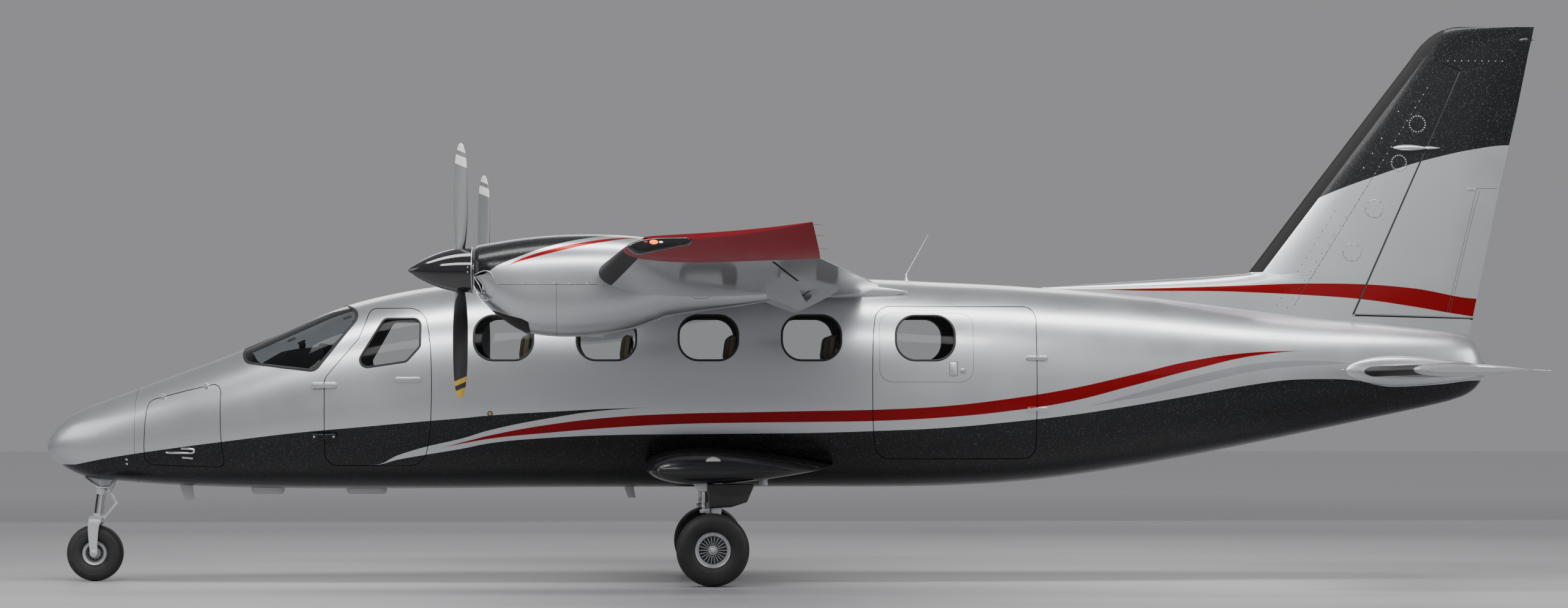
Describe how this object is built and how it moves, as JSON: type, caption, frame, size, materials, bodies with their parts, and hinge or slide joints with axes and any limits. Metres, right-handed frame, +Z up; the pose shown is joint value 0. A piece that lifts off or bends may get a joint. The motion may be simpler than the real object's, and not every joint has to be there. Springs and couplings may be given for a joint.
{
  "type": "light twin-propeller commuter airliner",
  "caption": "High-wing commuter aircraft with propellers on the wing, a hollow cabin with opening doors, control surfaces and fixed tricycle gear.",
  "frame": {"origin": "on the floor, at the middle of the bounding box, in the aircraft's plane of symmetry", "axes": "+X aft, so the nose faces -X; +Y to the aircraft's right, along the wing; +Z up"},
  "size_m": [11.8, 14, 4.4],
  "materials": {
    "silver_paint": "silver metallic paint on aluminium skin",
    "tail_paint": "silver metallic paint on a light composite skin",
    "red_paint": "deep red gloss paint on a composite tip",
    "black_paint": "black metallic paint on aluminium",
    "spinner_paint": "gloss black paint",
    "blade_paint": "satin grey paint",
    "engine_iron": "rough casting",
    "gear_steel": "satin grey paint on steel",
    "wheel_alloy": "painted alloy",
    "tyre_rubber": "matte rubber",
    "window_glass": "clear",
    "seat_leather": "tan leather",
    "dark_trim": "matte black"
  },
  "bodies": {
    "airframe": {"nose_cone": "silver_paint", "nose_section": "silver_paint", "cockpit_section": "silver_paint", "cabin_section": "silver_paint", "aft_cabin_section": "silver_paint", "tail_cone": "silver_paint", "cabin_floor": "dark_trim", "crew_seat_left": "seat_leather", "crew_seat_right": "seat_leather", "seat_1_left": "seat_leather", "seat_1_right": "seat_leather", "seat_2_left": "seat_leather", "seat_2_right": "seat_leather", "seat_3_left": "seat_leather", "seat_3_right": "seat_leather", "seat_4_left": "seat_leather", "seat_4_right": "seat_leather", "instrument_panel": "dark_trim", "windshield_left": "window_glass", "windshield_right": "window_glass", "wing": "silver_paint", "wing_tip_left": "red_paint", "wing_tip_right": "red_paint", "fin": "tail_paint", "tailplane": "tail_paint", "nacelle_left": "silver_paint", "nacelle_right": "silver_paint", "engine_block_left": "engine_iron", "engine_block_right": "engine_iron", "sponson_left": "black_paint", "sponson_right": "black_paint", "main_leg_left": "gear_steel", "main_leg_right": "gear_steel", "nose_leg": "gear_steel"},
    "propeller_left_unit": {"propeller_left": "blade_paint", "spinner_left": "spinner_paint"},
    "main_wheel_left_unit": {"main_wheel_left": "wheel_alloy", "main_tyre_left": "tyre_rubber"},
    "propeller_right_unit": {"propeller_right": "blade_paint", "spinner_right": "spinner_paint"},
    "main_wheel_right_unit": {"main_wheel_right": "wheel_alloy", "main_tyre_right": "tyre_rubber"},
    "nose_fork": {"nose_fork": "gear_steel"},
    "nose_wheel_unit": {"nose_wheel": "wheel_alloy", "nose_tyre": "tyre_rubber"},
    "crew_door_left": {"crew_door_left": "silver_paint"},
    "crew_door_right": {"crew_door_right": "silver_paint"},
    "cargo_door": {"cargo_door": "silver_paint"},
    "nose_baggage_door": {"nose_baggage_door": "silver_paint"},
    "aileron_left": {"aileron_left": "silver_paint"},
    "aileron_right": {"aileron_right": "silver_paint"},
    "flap_left": {"flap_left": "silver_paint"},
    "flap_right": {"flap_right": "silver_paint"},
    "elevator_left": {"elevator_left": "tail_paint"},
    "elevator_right": {"elevator_right": "tail_paint"},
    "rudder": {"rudder": "tail_paint"}
  },
  "joints": [
    {"name": "propeller_spin_left", "type": "hinge", "parent": "airframe", "child": "propeller_left_unit", "pos_m": [-2.555, -2.35, 2.38], "axis": [1, 0, 0], "continuous": true},
    {"name": "main_wheel_spin_left", "type": "hinge", "parent": "airframe", "child": "main_wheel_left_unit", "pos_m": [-0.675, -1.25, 0.28], "axis": [0, 1, 0], "continuous": true},
    {"name": "propeller_spin_right", "type": "hinge", "parent": "airframe", "child": "propeller_right_unit", "pos_m": [-2.555, 2.35, 2.38], "axis": [1, 0, 0], "continuous": true},
    {"name": "main_wheel_spin_right", "type": "hinge", "parent": "airframe", "child": "main_wheel_right_unit", "pos_m": [-0.675, 1.25, 0.28], "axis": [0, 1, 0], "continuous": true},
    {"name": "nose_steering", "type": "hinge", "parent": "airframe", "child": "nose_fork", "pos_m": [-5.5085, 0, 0.48], "axis": [0.1323, 0, 0.9912], "range_deg": [-30, 30]},
    {"name": "nose_wheel_spin", "type": "hinge", "parent": "nose_fork", "child": "nose_wheel_unit", "pos_m": [-5.522, 0, 0.222], "axis": [0, 1, 0], "continuous": true},
    {"name": "crew_door_left_hinge", "type": "hinge", "parent": "airframe", "child": "crew_door_left", "pos_m": [-3.6735, -0.772, 1.34], "axis": [0, 0, -1], "range_deg": [0, 85]},
    {"name": "crew_door_right_hinge", "type": "hinge", "parent": "airframe", "child": "crew_door_right", "pos_m": [-3.6735, 0.772, 1.34], "axis": [0, 0, 1], "range_deg": [0, 85]},
    {"name": "cargo_door_hinge", "type": "hinge", "parent": "airframe", "child": "cargo_door", "pos_m": [1.8535, -0.765, 1.55], "axis": [0, 0, 1], "range_deg": [0, 95]},
    {"name": "nose_baggage_door_hinge", "type": "hinge", "parent": "airframe", "child": "nose_baggage_door", "pos_m": [-4.7775, -0.4826, 1.4905], "axis": [-0.9428, 0.2486, -0.2223], "range_deg": [0, 80]},
    {"name": "aileron_left_hinge", "type": "hinge", "parent": "airframe", "child": "aileron_left", "pos_m": [-0.12033, -4.25, 2.32335], "axis": [0.1059, 0.9942, -0.0171], "range_deg": [-25, 25]},
    {"name": "aileron_right_hinge", "type": "hinge", "parent": "airframe", "child": "aileron_right", "pos_m": [-0.12033, 4.25, 2.32335], "axis": [-0.1059, 0.9942, 0.0171], "range_deg": [-25, 25]},
    {"name": "flap_left_hinge", "type": "hinge", "parent": "airframe", "child": "flap_left", "pos_m": [0.0128, -0.95, 2.30182], "axis": [0, 1, 0], "range_deg": [0, 30]},
    {"name": "flap_right_hinge", "type": "hinge", "parent": "airframe", "child": "flap_right", "pos_m": [0.0128, 0.95, 2.30182], "axis": [0, 1, 0], "range_deg": [0, 30]},
    {"name": "elevator_left_hinge", "type": "hinge", "parent": "airframe", "child": "elevator_left", "pos_m": [5.11074, -0.34, 1.65], "axis": [0.0205, 0.9998, 0], "range_deg": [-25, 20]},
    {"name": "elevator_right_hinge", "type": "hinge", "parent": "airframe", "child": "elevator_right", "pos_m": [5.11074, 0.34, 1.65], "axis": [-0.0205, 0.9998, 0], "range_deg": [-25, 20]},
    {"name": "rudder_hinge", "type": "hinge", "parent": "airframe", "child": "rudder", "pos_m": [4.44, 0, 2.11], "axis": [0.4081, 0, 0.9129], "range_deg": [-25, 25]}
  ],
  "couplings": [
    {"joint": "aileron_right_hinge", "follows": "aileron_left_hinge", "ratio": -1},
    {"joint": "flap_right_hinge", "follows": "flap_left_hinge", "ratio": 1},
    {"joint": "elevator_right_hinge", "follows": "elevator_left_hinge", "ratio": 1}
  ]
}
